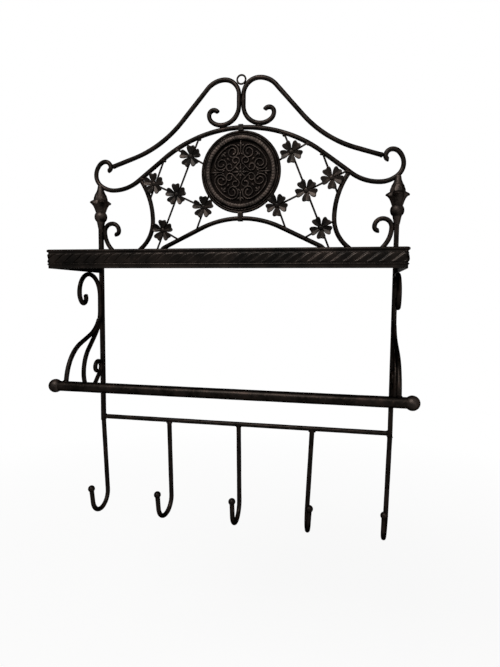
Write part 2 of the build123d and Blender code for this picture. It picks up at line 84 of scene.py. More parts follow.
def ironPaint(name, tones, cloudSize, grainSize, grainDepth, pitSize, pitDepth, gloss):
    # Oil-rubbed bronze on iron: near black at the sides of a bar, a warm soft line along its middle,
    # browner where it has rubbed thin, broken up by the grain of what lies under it. Sizes in millimetres.
    finish = bpy.data.materials.new(name)
    finish.use_nodes = True
    tree = finish.node_tree
    shader = tree.nodes["Principled BSDF"]
    place = addNode(tree, "ShaderNodeTexCoord").outputs["Object"]
    cloud = addNode(tree, "ShaderNodeTexNoise", inputs={
        "Vector": place, "Scale": 1000 / cloudSize, "Detail": 3.0, "Roughness": 0.55}).outputs["Fac"]
    grain = addNode(tree, "ShaderNodeTexNoise", inputs={
        "Vector": place, "Scale": 1000 / grainSize, "Detail": 4.0, "Roughness": 0.6}).outputs["Fac"]
    pits = addNode(tree, "ShaderNodeTexVoronoi", {"feature": "SMOOTH_F1"}, {
        "Vector": place, "Scale": 1000 / pitSize, "Smoothness": 0.6}).outputs["Distance"]
    tone = addNode(tree, "ShaderNodeValToRGB", inputs={"Fac": cloud})
    ramp = tone.color_ramp
    ramp.elements[0].position = toneStops[0]
    ramp.elements[0].color = linear(tones[0])
    ramp.elements[1].position = toneStops[2]
    ramp.elements[1].color = linear(tones[2])
    ramp.elements.new(toneStops[1]).color = linear(tones[1])
    speck = addNode(tree, "ShaderNodeMapRange", inputs={
        "Value": grain, "From Min": 0.56, "From Max": 0.78, "To Min": 0.0, "To Max": 0.7}).outputs["Result"]
    colour = addNode(tree, "ShaderNodeMix", {"data_type": "RGBA"}, {
        "Factor": speck, 6: tone.outputs["Color"], 7: linear(tones[3])}).outputs[2]
    rough = addNode(tree, "ShaderNodeMapRange", inputs={
        "Value": grain, "From Min": 0.3, "From Max": 0.7,
        "To Min": gloss[0], "To Max": gloss[1]}).outputs["Result"]
    pitBump = addNode(tree, "ShaderNodeBump", inputs={
        "Height": pits, "Strength": 1.0, "Distance": pitDepth / 1000}).outputs["Normal"]
    grainBump = addNode(tree, "ShaderNodeBump", inputs={
        "Height": grain, "Strength": 1.0, "Distance": grainDepth / 1000,
        "Normal": pitBump}).outputs["Normal"]
    tree.links.new(colour, shader.inputs["Base Color"])
    tree.links.new(rough, shader.inputs["Roughness"])
    tree.links.new(grainBump, shader.inputs["Normal"])
    shader.inputs["Metallic"].default_value = 1.0
    shader.inputs["Specular Tint"].default_value = linear(rubbedTint)
    return finish


# forged bar: smooth, with long hammer flats; casting: sandy and pitted; sheet: nearly flat;
# plate behind the scrollwork: black and dull, painted shade for the recess behind the scrollwork
barTones = ["#0e0c0a", "#171412", "#201a17", "#302621"]
sheetTones = ["#100f0e", "#191614", "#231e1b", "#312925"]
castTones = ["#1c1917", "#292421", "#342d29", "#483d37"]
plateShadeTones = ["#0a0807", "#0e0b0a", "#14100d", "#1a1512"]
barPaint = ironPaint("oilRubbedBronzeOnForgedBar", barTones, cloudSize=16.0, grainSize=2.6, grainDepth=0.05,
                     pitSize=8.0, pitDepth=0.12, gloss=(0.33, 0.43))
castPaint = ironPaint("oilRubbedBronzeOnCasting", castTones, cloudSize=11.0, grainSize=1.8, grainDepth=0.10,
                      pitSize=2.8, pitDepth=0.16, gloss=(0.42, 0.54))
sheetPaint = ironPaint("oilRubbedBronzeOnPressedSheet", sheetTones, cloudSize=24.0, grainSize=2.4,
                       grainDepth=0.04, pitSize=9.0, pitDepth=0.10, gloss=(0.29, 0.38))
# painted shade: the near-black, dull finish of the plate behind the medallion's scrollwork
plateShadePaint = ironPaint("paintedShadeOnPlate", plateShadeTones, cloudSize=11.0, grainSize=1.8, grainDepth=0.10,
                        pitSize=2.8, pitDepth=0.10, gloss=(0.60, 0.75))
print("finishes made")


# Shapes

leastDivided = 9.0  # a tighter bend is divided as if it were this wide
poleGap = 0.12  # radians left open at the two poles of a lump
barWaves = {"long": 9.5, "short": 4.1, "shortShare": 0.6}


def bentLine(start, heading, bends, step=1.3):
    # A run (length,) goes straight on. A bend (radius, degrees) is an arc tangent to what came before it,
    # to the left where its degrees are positive. The rows are x, y and the heading in radians.
    at = np.array(start, float)
    angle = np.radians(heading)
    rows = [np.array([[at[0], at[1], angle]])]
    for bend in bends:
        if len(bend) == 1:
            t = np.linspace(0, 1, max(2, round(bend[0] / (4 * step)) + 1))[1:]
            x = at[0] + np.cos(angle) * bend[0] * t
            y = at[1] + np.sin(angle) * bend[0] * t
            a = np.full_like(t, angle)
        else:
            turn = np.radians(bend[1])
            radius = bend[0] * np.sign(turn)
            count = max(4, round(abs(turn) * max(bend[0], leastDivided) / step))
            a = angle + turn * np.linspace(0, 1, count + 1)[1:]
            x = at[0] + radius * (np.sin(a) - np.sin(angle))
            y = at[1] - radius * (np.cos(a) - np.cos(angle))
        rows.append(np.stack([x, y, a], 1))
        at = rows[-1][-1, :2]
        angle = a[-1]
    return np.concatenate(rows)


def opposite(bends):
    return [bend if len(bend) == 1 else (bend[0], -bend[1]) for bend in bends]


def bothWays(start, heading, ahead, behind):
    # one line through a known point: the part behind it is walked backwards
    back = bentLine(start, heading + 180, behind)[::-1] + [0, 0, np.pi]
    return np.concatenate([back[:-1], bentLine(start, heading, ahead)])


def sideways(line):
    # the same line on the other side of the middle
    return line * [-1, 1, -1] + [0, 0, np.pi]


def throughPoints(points, count):
    # smooth line through a few points (Catmull-Rom), with its heading
    p = np.array(points, float)
    p = np.concatenate([2 * p[:1] - p[1:2], p, 2 * p[-1:] - p[-2:-1]])
    u = np.linspace(0, len(p) - 3 - 1e-9, count)
    k = u.astype(int)
    t = (u - k)[:, None]
    a, b, c, d = p[k], p[k + 1], p[k + 2], p[k + 3]
    line = b + 0.5 * t * (c - a + t * (2 * a - 5 * b + 4 * c - d + t * (3 * (b - c) + d - a)))
    way = np.gradient(line, axis=0)
    return np.column_stack([line[:, :2], np.arctan2(way[:, 1], way[:, 0])])


def trimmedAt(line, carrier, gap):
    # the line up to where it comes within the gap of the bar that carries it
    far = np.linalg.norm(line[:, None, :2] - carrier[None, :, :2], axis=2).min(1)
    far[:len(line) // 2] = np.inf
    hit = np.flatnonzero(far < gap)
    return line[:hit[0] + 1] if len(hit) else line


def above(line, floor):
    # the part of a line over a height, its first row moved along to that height
    first = np.flatnonzero(line[:, 1] > floor)[0]
    kept = line[first - 1:].copy()
    share = (floor - kept[0, 1]) / (kept[1, 1] - kept[0, 1])
    kept[0] += share * (kept[1] - kept[0])
    return kept


wallPlane = ((0, 0, 0), (1, 0, 0), (0, 0, 1))
footRun = 4.0  # from a bar's slanted foot to its first full ring


def endPlane(x):
    # across the rack: first axis forwards, second axis up
    return ((x, 0, 0), (0, -1, 0), (0, 0, 1))


def skin(rings, joined=False):
    # rings: rows x columns x 3, each row closed round its columns; the two ends are shut by a face,
    # or the last row is joined to the first
    rows, columns = rings.shape[:2]
    index = np.arange(rows * columns).reshape(rows, columns)
    low = index if joined else index[:-1]
    high = np.roll(index, -1, 0) if joined else index[1:]
    quads = np.stack([low, np.roll(low, -1, 1), np.roll(high, -1, 1), high], -1).reshape(-1, 4)
    ends = [] if joined else [index[0][::-1].tolist(), index[-1].tolist()]
    return rings.reshape(-1, 3), quads, ends


def sheetSkin(grid):
    # open surface over a grid of points, thickened later
    rows, columns = grid.shape[:2]
    index = np.arange(rows * columns).reshape(rows, columns)
    quads = np.stack([index[:-1, :-1], index[:-1, 1:], index[1:, 1:], index[1:, :-1]], -1).reshape(-1, 4)
    return grid.reshape(-1, 3), quads, []


def swept(line, plane, width, depth=None, sides=16, corner=1.0, worn=0.8, foot=None, joined=False):
    # ring = centre + width * cos(a) across the line + depth * sin(a) out of its plane, carried along it.
    # corner under 1 squares the ring up: sign(cos a) |cos a| ^ corner. worn is the bevel of a cut end.
    # foot slides the first ring along the bar on to a level face.
    origin, first, second = (np.array(v, float) for v in plane)
    out = np.cross(first, second)
    x, y, angle = line.T
    centre = origin + x[:, None] * first + y[:, None] * second
    along = np.cos(angle)[:, None] * first + np.sin(angle)[:, None] * second
    across = -np.sin(angle)[:, None] * first + np.cos(angle)[:, None] * second
    wide = np.broadcast_to(np.asarray(width, float), x.shape).copy()
    deep = wide.copy() if depth is None else np.broadcast_to(np.asarray(depth, float), x.shape).copy()
    if worn and not joined:
        back = footRun if foot is not None else worn
        pad = [0] + list(range(len(x))) + [len(x) - 1]
        centre, along, across, wide, deep = (v[pad] for v in (centre, along, across, wide, deep))
        centre[1] += along[1] * back
        centre[-2] -= along[-2] * worn
        wide[-1] -= worn
        deep[-1] -= worn
        if foot is None:
            wide[0] -= worn
            deep[0] -= worn
    a = np.linspace(0, 2 * np.pi, sides, endpoint=False)
    c = np.sign(np.cos(a)) * np.abs(np.cos(a)) ** corner
    s = np.sign(np.sin(a)) * np.abs(np.sin(a)) ** corner
    sideStep = (wide[:, None] * c)[..., None] * across[:, None]
    outStep = (deep[:, None] * s)[..., None] * out
    rings = centre[:, None] + sideStep + outStep
    if foot is not None:
        rings[0] += along[0] * ((foot - rings[0][:, 2]) / along[0][2])[:, None]
    return skin(rings, joined)


def forged(line, radius, swell=0.013):
    # bar radius along a line: radius * (1 + two slow waves), as hand-drawn bar has
    run = np.concatenate([[0], np.cumsum(np.linalg.norm(np.diff(line[:, :2], axis=0), axis=1))])
    phase = scatter.uniform(0, 6.28, 2)
    longWave = swell * np.sin(run / barWaves["long"] + phase[0])
    shortWave = barWaves["shortShare"] * swell * np.sin(run / barWaves["short"] + phase[1])
    return radius * (1 + longWave + shortWave)


def bar(line, plane=wallPlane, radius=rack["rodRadius"], **shape):
    return swept(line, plane, forged(line, radius), **shape)


def straight(start, end):
    # line between two points of a drawing plane
    start, end = np.array(start, float), np.array(end, float)
    way = end - start
    t = np.linspace(0, 1, max(2, int(np.linalg.norm(way) / 5)))[:, None]
    return np.column_stack([start + t * way, np.full(len(t), np.arctan2(way[1], way[0]))])


def turnedOn(profile, base, axis, sides=32, lobes=None):
    # ring = base + height * axis + radius * (cos a, sin a); lobes(height, a) swells the radius
    axis = np.array(axis, float)
    u = np.array([0, 1, 0]) if abs(axis[0]) > 0.5 else np.array([1, 0, 0])
    v = np.cross(axis, u)
    height, radius = np.array(profile, float).T
    a = np.linspace(0, 2 * np.pi, sides, endpoint=False)
    r = radius[:, None] * np.ones(sides)
    if lobes is not None:
        r = r * lobes(height[:, None], a[None, :])
    ring = np.cos(a)[:, None] * u + np.sin(a)[:, None] * v
    return skin(np.array(base, float) + height[:, None, None] * axis + r[..., None] * ring)


def ballProfile(radius, centre=0.0, low=-88, high=88, count=13):
    # sphere: height = centre + R sin t, radius = R cos t
    t = np.radians(np.linspace(low, high, count))
    return np.column_stack([centre + radius * np.sin(t), radius * np.cos(t)])


def lump(centre, radii, rows=7, sides=10, uneven=0.16):
    # weld bead or boss: an ellipsoid radii * (sin t cos a, sin t sin a, cos t), swollen by two low waves
    t = np.linspace(poleGap, np.pi - poleGap, rows)[:, None]
    a = np.linspace(0, 2 * np.pi, sides, endpoint=False)[None]
    phase = scatter.uniform(0, 6.28, 2)
    size = 1 + uneven * np.sin(2 * a + phase[0]) * np.sin(t) + 0.5 * uneven * np.sin(3 * t + phase[1])
    point = np.stack([np.sin(t) * np.cos(a), np.sin(t) * np.sin(a), np.cos(t) * np.ones_like(a)], -1)
    return skin(np.array(centre, float) + size[..., None] * point * np.array(radii, float))


def moved(shell, matrix=np.eye(3), shift=(0, 0, 0)):
    return (shell[0] @ np.array(matrix).T + np.array(shift, float), shell[1], shell[2])


def turnAbout(axis, degrees):
    return np.array(Matrix.Rotation(np.radians(degrees), 3, axis))


def makePiece(name, shells, finish, nodes=(), sharp=38, wall=None):
    # joins the shells into one mesh at the origin, faces outwards, and hands it to the frame
    starts = np.cumsum([0] + [len(shell[0]) for shell in shells])
    points = np.concatenate([shell[0] for shell in shells]) / 1000
    faces = []
    for shell, start in zip(shells, starts):
        faces += (shell[1] + start).tolist()
        faces += [[i + int(start) for i in end] for end in shell[2]]
    mesh = bpy.data.meshes.new(name)
    mesh.from_pydata(points.tolist(), [], faces)
    loose = bmesh.new()
    loose.from_mesh(mesh)
    bmesh.ops.recalc_face_normals(loose, faces=loose.faces)
    loose.to_mesh(mesh)
    loose.free()
    mesh.shade_smooth()
    mesh.set_sharp_from_angle(angle=np.radians(sharp))
    piece = bpy.data.objects.new(name, mesh)
    bpy.context.scene.collection.objects.link(piece)
    mesh.materials.append(finish)
    if wall:
        thick = piece.modifiers.new("wall", "SOLIDIFY")
        thick.thickness = wall / 1000
        thick.offset = 0.0
    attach(piece, "root")
    if nodes:
        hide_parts(*nodes)
    print("  ", name, len(mesh.polygons), "faces")
    return piece


# Crest: arch, swan necks and hanging eye

crest = {
    "apex": -60.5, "crown": 176.0, "slope": 37.0, "sway": 60.0, "curlInset": 21.0,
    "curl": [(32, 40), (18, 50), (21, 45), (11, 45), (8, 90), (4.5, 85)],
}
swayed = crest["crown"] + crest["sway"]
slopeTurn = np.radians(crest["slope"])
archRun = (rack["half"] - crest["curlInset"] - swayed * np.sin(slopeTurn)) / np.cos(slopeTurn)
archBends = [(crest["crown"], -crest["slope"]), (archRun,), (crest["sway"], crest["slope"])] + crest["curl"]
archLine = bothWays((0, crest["apex"]), 0, archBends, opposite(archBends))
makePiece("crestArch", [bar(archLine)], barPaint, ["crest_arch"])


def onArch(x, apex, radius, turn):
    # on the crown a circle, further out the straight slope
    slopeX = radius * np.sin(turn)
    if x < slopeX:
        return np.array([x, apex - radius + np.sqrt(radius ** 2 - x ** 2)])
    slopeZ = apex - radius * (1 - np.cos(turn))
    return np.array([x, slopeZ - (x - slopeX) * np.tan(turn)])


def archPoint(x):
    return onArch(x, crest["apex"], crest["crown"], slopeTurn)


neck = {
    "eyeOuter": 6.8, "crook": 20.0, "shoulder": 30.0, "slope": 48.5, "run": 53.0,
    "sweep": (154.0, 30.5), "tail": 32.0, "loop": 23.5, "loopEnd": [(20, 40), (11, 50), (6.5, 150)],
}
rod = rack["rodRadius"]
crookX = rod + neck["crook"]
crookZ = -np.sqrt((crookX + neck["eyeOuter"]) ** 2 - crookX ** 2)
loopZ = crest["apex"] - crest["crown"] + np.sqrt(
    (crest["crown"] + 2 * rod + neck["loop"]) ** 2 - (rod + neck["loop"]) ** 2)
neckAhead = [(crookZ - loopZ,), (neck["crook"], -90), (neck["shoulder"], -neck["slope"]), (neck["run"],),
             neck["sweep"], (neck["tail"],)]
neckBehind = [(neck["loop"], 90)] + neck["loopEnd"]
neckLine = trimmedAt(bothWays((rod, loopZ), 90, neckAhead, neckBehind), archLine, rod)
makePiece("swanNecks", [bar(neckLine), bar(sideways(neckLine))], barPaint, ["swan_necks"])

eye = {"radius": 5.59, "wire": 1.2}
eyeLine = bentLine((0, -eye["radius"]), 0, [(eye["radius"], 360)], step=0.5)[:-1]
eyeRing = swept(eyeLine, wallPlane, eye["wire"], sides=12, joined=True)
makePiece("hangingEye", [eyeRing], barPaint, ["hanging_eye"])
print("crest made")

# Lower arch, side arcs and small scrolls

lowArch = {"radius": 125.0, "slope": 25.6, "footX": 112.0, "footBend": 12.0, "apex": -177.5}
lowTurn = np.radians(lowArch["slope"])
lowBendX = lowArch["footX"] - lowArch["footBend"] * (1 - np.sin(lowTurn))
lowRun = (lowBendX - lowArch["radius"] * np.sin(lowTurn)) / np.cos(lowTurn)
lowBendZ = lowArch["apex"] - lowArch["radius"] * (1 - np.cos(lowTurn)) - lowRun * np.sin(lowTurn)
lowLeg = lowBendZ - lowArch["footBend"] * np.cos(lowTurn) - rack["panelTop"]
lowBends = [(lowArch["radius"], -lowArch["slope"]), (lowRun,),
            (lowArch["footBend"], lowArch["slope"] - 90), (lowLeg,)]
lowLine = bothWays((0, lowArch["apex"]), 0, lowBends, opposite(lowBends))
makePiece("lowerArch", [bar(lowLine, worn=0.2)], barPaint, ["lower_arch"])


def lowArchPoint(x):
    return onArch(x, lowArch["apex"], lowArch["radius"], lowTurn)


sideArc = {"x": 122.7, "rise": 51.0, "upper": (100.0, 52.0), "lower": (47.0, 48.0), "footRun": 60.0}
arcStart = (sideArc["x"], rack["panelTop"] + sideArc["rise"])
arcFoot = [sideArc["lower"], (sideArc["footRun"],)]
arcLine = bothWays(arcStart, 90, opposite([sideArc["upper"]]), arcFoot)
arcLine = trimmedAt(above(arcLine, rack["panelTop"]), archLine, rod)
makePiece("sideArcs", [bar(line, foot=rack["panelTop"]) for line in (arcLine, sideways(arcLine))],
          barPaint, ["side_arcs"])


def sideArcPoint(rise):
    lift = rise - sideArc["rise"]
    radius = sideArc["upper"][0] if lift > 0 else sideArc["lower"][0]
    return np.array([sideArc["x"] + radius - np.sqrt(radius ** 2 - lift ** 2), rack["panelTop"] + rise])


smallScroll = {"rise": 38.0, "foot": (35.0, -42.0), "footRun": 40.0, "curl": [(11, 90), (10, 90), (5, 100)]}
smallStart = (rack["half"] - 2 * rod, rack["panelTop"] + smallScroll["rise"])
smallFoot = [smallScroll["foot"], (smallScroll["footRun"],)]
smallLine = above(bothWays(smallStart, 90, smallScroll["curl"], smallFoot), rack["panelTop"])
makePiece("smallScrolls", [bar(line, foot=rack["panelTop"]) for line in (smallLine, sideways(smallLine))],
          barPaint, ["small_scrolls"])
print("arches and scrolls made")

# Lattice wires and flowers

medal = {"centre": -117.5, "hoopRadius": 51.7, "hoopRod": 1.8}
lattice = {
    "aTop": 56.5, "aFoot": 122.0, "bTop": 105.5, "bFootRise": 80.0, "cAngle": -33.5, "cFoot": 61.0,
    "dTop": 139.0, "dSlope": 25.0, "dReach": 200.0, "eTop": 88.5, "eAngle": 13.5, "fTopRise": 47.0,
    "fFoot": 85.0,
}


def heading(degrees):
    return np.array([np.cos(np.radians(degrees)), np.sin(np.radians(degrees))])


def crossing(first, second):
    # where two lines of a plane meet: a + u ((c - a) x v) / (u x v)
    a, c = first[0], second[0]
    u, v, w = first[1] - a, second[1] - c, second[0] - first[0]
    return a + u * (w[0] * v[1] - w[1] * v[0]) / (u[0] * v[1] - u[1] * v[0])


hub = np.array([0, medal["centre"]])
wireA = (archPoint(lattice["aTop"]), np.array([lattice["aFoot"], rack["panelTop"]]))
wireB = (archPoint(lattice["bTop"]), sideArcPoint(lattice["bFootRise"]))
wireC = (hub + heading(lattice["cAngle"]) * medal["hoopRadius"], lowArchPoint(lattice["cFoot"]))
dTop = archPoint(lattice["dTop"])
dCross = crossing((dTop, dTop - heading(lattice["dSlope"]) * lattice["dReach"]), wireC)
wireD = (dTop, dCross - heading(lattice["dSlope"]) * 4 * rack["wireRadius"])
wireE = (archPoint(lattice["eTop"]), hub + heading(lattice["eAngle"]) * medal["hoopRadius"])
wireF = (sideArcPoint(lattice["fTopRise"]), lowArchPoint(lattice["fFoot"]))
crossPlane = ((0, -2 * rack["wireRadius"], 0), (1, 0, 0), (0, 0, 1))
for name, node, wires, plane in (("steepWires", "steep_wires", (wireA, wireB, wireC), wallPlane),
                                 ("crossWires", "cross_wires", (wireD, wireE, wireF), crossPlane)):
    lines = [straight(*wire) for wire in wires]
    shells = [bar(line, plane, rack["wireRadius"], sides=10, worn=0.3)
              for line in lines + [sideways(line) for line in lines]]
    makePiece(name, shells, barPaint, [node])

flower = {
    "petals": 5, "reach": 15.0, "halfAngle": 34.5, "notch": 0.11, "notchWidth": 0.3, "edgePower": 4.5,
    "edgeLeast": 1.4, "seat": 1.5, "rise": 0.13, "curl": 1.5, "curlRadius": 12.0, "crease": 0.35,
    "creaseWidth": 0.2, "front": 3.9, "wall": 1.0, "tiltSpread": 2.0,
    # height and radius of the boss in the middle
    "boss": [(0.4, 3.6), (1.6, 3.9), (2.5, 3.4), (3.1, 2.4), (3.3, 1.2), (3.2, 0.2)],
}
across, outwards = np.meshgrid(np.linspace(-1, 1, 19), np.linspace(0.1, 1, 10))
# petal edge in polar form: reach * sqrt(1 - |t| ^ edgePower), notched at the tip by a bell curve
edge = flower["reach"] * (1 - np.abs(across) ** flower["edgePower"]) ** 0.5 * (
    1 - flower["notch"] * np.exp(-(across / flower["notchWidth"]) ** 2))
radius = outwards * np.maximum(edge, flower["edgeLeast"])
angle = np.radians(flower["halfAngle"]) * across
# the sides curl up by the square of their distance, and the middle is creased by a bell curve
curled = flower["curl"] * (across * radius / flower["curlRadius"]) ** 2
creased = flower["crease"] * np.exp(-(across / flower["creaseWidth"]) ** 2) * outwards * (1 - outwards) * 3
lift = flower["seat"] + flower["rise"] * radius + curled - creased
petalGrid = np.stack([radius * np.cos(angle), radius * np.sin(angle), lift], -1)


def flowerShells(x, z, petalWay):
    # petals turned about the flower's middle, then stood up to face the front
    shells = []
    stand = np.array([[1, 0, 0], [0, 0, -1], [0, 1, 0]])
    for i in range(flower["petals"]):
        lean = turnAbout("Y", scatter.normal(0, flower["tiltSpread"]))
        spin = turnAbout("Z", petalWay + 360 / flower["petals"] * i + scatter.normal(0, flower["tiltSpread"]))
        shells.append(moved(sheetSkin(petalGrid), stand @ spin @ lean, (x, -flower["front"], z)))
    return shells


places = [crossing(wireA, wireE), crossing(wireB, wireD), crossing(wireA, wireD), dCross,
          crossing(wireA, wireF)]
petals = [shell for x, z in places for shell in flowerShells(x, z, -90)]
petals += [shell for x, z in places for shell in flowerShells(-x, z, 90)]
makePiece("flowerPetals", petals, sheetPaint, ["flowers"], wall=flower["wall"])
bosses = [turnedOn(flower["boss"], (side * x, -flower["front"], z), (0, -1, 0), 14)
          for x, z in places for side in (1, -1)]
makePiece("flowerBosses", bosses, sheetPaint)
print("lattice and flowers made")

# Medallion

hoopFoot = (0, medal["centre"] - medal["hoopRadius"])
hoopLine = bentLine(hoopFoot, 0, [(medal["hoopRadius"], 360)], step=2.0)[:-1]
hoop = swept(hoopLine, wallPlane, medal["hoopRod"], sides=12, joined=True)
makePiece("medallionHoop", [hoop], barPaint, ["medallion_hoop"])

casting = {
    # radius and height over the middle plane, from the flange in over the hammered rim to the recess
    "rim": [(49.9, -1.0), (49.9, 0.4), (49.5, 1.3), (48.8, 1.7), (48.1, 1.4), (47.6, 0.7), (47.3, 0.9),
            (47.1, 2.4), (46.7, 3.3), (46.0, 3.8), (45.0, 3.95), (44.0, 4.0), (43.0, 3.95), (42.1, 3.7),
            (41.4, 3.1), (41.0, 2.2), (40.8, 1.2), (40.6, 0.4), (40.5, -0.2), (40.5, -1.0), (43.0, -1.0)],
    # height and radius of the plate behind the scrollwork
    "plate": [(-1.0, 40.8), (-0.2, 40.8)],
    # hammer marks: turns round the ring and slant across it of three waves
    "hammer": 0.25, "hammerWaves": [(43, 1.9), (31, -2.3), (67, 3.1)],
    "strap": (1.1, 1.5), "strapHeight": 0.4,
    "scrollSeat": 37.0, "scrollAngle": 22.5, "scroll": [(8.0, 180), (5.9, 180), (4.0, 180)],
    "curlSeat": 15.6, "curlAngle": 24.0, "curlRadius": 4.7, "curl": [(4.7, -180), (3.4, -160)],
    "innerSpoke": 11.0, "outerSpoke": (25.0, 40.6),
    # a leaf of one quarter: distance and bearing of its root, its way, length, half width and depth
    "leaves": [
        (35.5, 45, -135, 8.0, 1.9, 1.6), (34.5, 45, 170, 6.0, 1.5, 1.5), (34.5, 45, -80, 6.0, 1.5, 1.5),
        (40.4, 0, 180, 9.5, 1.7, 1.6), (32.0, 0, 52, 6.8, 1.5, 1.5), (32.0, 0, -52, 6.8, 1.5, 1.5),
        (25.5, 0, 140, 5.5, 1.3, 1.4), (25.5, 0, -140, 5.5, 1.3, 1.4), (20.5, 45, 45, 6.5, 1.5, 1.5),
        (2.0, 45, 45, 8.5, 1.4, 1.5), (2.0, 0, 0, 8.5, 1.4, 1.5),
    ],
    "scrollKnob": (1.9, 1.5, 1.9), "curlKnob": (1.7, 1.5, 1.7), "knobHeight": 0.6, "knobUneven": 0.05,
    "seedRing": 4.6, "seed": (2.3, 1.7, 2.3), "seedHeight": 0.7,
    "middle": (2.5, 2.2, 2.5), "middleHeight": 0.9,
}
ringAngle = np.linspace(0, 2 * np.pi, 420, endpoint=False)[:, None]
rimRadius, rimHeight = np.array(casting["rim"]).T
onRim = np.clip((rimHeight - 1.5) / 2, 0, 1)
# two waves slanted against each other, sin(first) sin(second + 1), and a finer third one at half their height
first, second, third = (turns * ringAngle + slant * rimRadius for turns, slant in casting["hammerWaves"])
hammered = np.sin(first) * np.sin(second + 1) + 0.5 * np.sin(third)
rimTop = rimHeight + casting["hammer"] * onRim * hammered
rimX, rimZ = rimRadius * np.cos(ringAngle), rimRadius * np.sin(ringAngle)
castShells = [skin(np.stack([rimX, -rimTop, medal["centre"] + rimZ], -1), joined=True)]
plate = turnedOn(casting["plate"], (0, 0, medal["centre"]), (0, -1, 0), 96)
# the plate's near-black, dull finish is painted shade for the shadow seen through the scrollwork's openings
makePiece("medallionPlate", [plate], plateShadePaint)

tracePlane = ((0, -casting["strapHeight"], medal["centre"]), (1, 0, 0), (0, 0, 1))


def spun(line, degrees):
    # a line of the medallion's plane turned about its middle
    c, s = heading(degrees)
    return np.column_stack([line[:, 0] * c - line[:, 1] * s, line[:, 0] * s + line[:, 1] * c,
                            line[:, 2] + np.radians(degrees)])


def strap(line, wide=casting["strap"][0], deep=casting["strap"][1]):
    return swept(line, tracePlane, wide, deep, sides=10, worn=0.3)


def blade(distance, bearing, degrees, length, width, deep):
    # leaf: half width w sin(pi t) ^ 0.8, a lens in section
    t = np.linspace(0.02, 0.98, 9)
    points = distance * heading(bearing) + t[:, None] * length * heading(degrees)
    line = np.column_stack([points, np.full(len(t), np.radians(degrees))])
    wide = width * np.sin(np.pi * t) ** 0.8
    return line, wide, deep * np.sin(np.pi * t) ** 0.6


scrollHalf = [(casting["scrollSeat"], 45 - casting["scrollAngle"])] + casting["scroll"]
scrollLine = bothWays(casting["scrollSeat"] * heading(45), 135, scrollHalf, opposite(scrollHalf))
curlSpread = np.radians(45 - casting["curlAngle"])
curlBack = casting["curlSeat"] * np.cos(curlSpread) - casting["curlRadius"]
curlHalf = [(casting["curlSeat"] * np.sin(curlSpread),)] + casting["curl"]
curlLine = bothWays(curlBack * heading(45), 135, curlHalf, opposite(curlHalf))
traceLines = [
    scrollLine, curlLine, straight((0, 0), curlBack * heading(45)),
    straight((0, 0), (casting["innerSpoke"], 0)),
    straight((casting["outerSpoke"][0], 0), (casting["outerSpoke"][1], 0)),
]


def knob(x, height, z, radii):
    return lump((x, -height, medal["centre"] + z), radii, uneven=casting["knobUneven"])


quarters = (0, 90, 180, 270)
for quarter in quarters:
    castShells += [strap(spun(line, quarter)) for line in traceLines]
    for leaf in casting["leaves"]:
        line, wide, deep = blade(*leaf)
        castShells.append(swept(spun(line, quarter), tracePlane, wide, deep, sides=10, worn=0))
    for line, radii in ((scrollLine, casting["scrollKnob"]), (curlLine, casting["curlKnob"])):
        for end in (0, -1):
            x, z = spun(line, quarter)[end, :2]
            castShells.append(knob(x, casting["knobHeight"], z, radii))
    x, z = casting["seedRing"] * heading(quarter)
    castShells.append(knob(x, casting["seedHeight"], z, casting["seed"]))
castShells.append(knob(0, casting["middleHeight"], 0, casting["middle"]))
makePiece("medallionCasting", castShells, castPaint, ["medallion"], sharp=50)
print("medallion made")

# Uprights and finials

curl = crest["curl"][0][0]
archBottom = crest["apex"] - swayed * (1 - np.cos(slopeTurn)) - archRun * np.sin(slopeTurn)
curlOver = archBottom + curl - np.sqrt(curl ** 2 - crest["curlInset"] ** 2)
finial = {
    "height": 52.0, "ball": 8.75, "ballHeight": 8.2, "turns": (0, 45), "socket": 1.0,
    # height and radius, from under the collar to the tip
    "collar": [(-9.0, 3.6), (-6.0, 4.2), (-2.5, 4.9), (0.5, 5.5)],
    "waist": [(15.8, 5.2), (18.0, 5.0)],
    "bud": [(20.0, 6.4), (23.0, 8.0), (27.0, 9.1), (31.0, 9.3), (34.5, 8.8), (38.0, 7.6), (41.0, 6.3),
            (44.4, 4.9), (47.0, 4.2), (49.7, 3.8), (51.2, 3.2), (51.9, 2.0)],
    # radius and height of a leaf's back, from the waist out to its curled tip
    "leaf": [(6.2, 12.6), (7.4, 16.0), (8.6, 19.6), (10.2, 23.0), (12.4, 25.8), (14.3, 27.2), (14.9, 27.8)],
    "notch": 0.42, "leafTop": (8.6, 31.6), "groove": 0.1,
    "roseHeight": 34.0, "roseRing": 4.4, "roseRim": 0.9, "roseKnob": 1.5, "roseProud": 0.05, "lobe": 0.03,
    "budRadius": 9.0, "roseSquash": 0.85, "lobeFoot": (19, 6), "lobeTop": (50, 14),
    "tipReach": 13.2, "tipHeight": 27.3, "tip": (1.5, 1.5, 1.4), "tipUneven": 0.08,
}
uprightTop = curlOver - finial["height"]
for name, node, side in (("leftUpright", "left_upright", -1), ("rightUpright", "right_upright", 1)):
    x = side * rack["half"]
    line = straight((x, rack["uprightFoot"]), (x, uprightTop + finial["socket"]))
    upright = swept(line, wallPlane, forged(line, rod, swell=0.006), sides=24, corner=0.3, worn=0.3)
    makePiece(name, [upright], barPaint, [node], sharp=50)


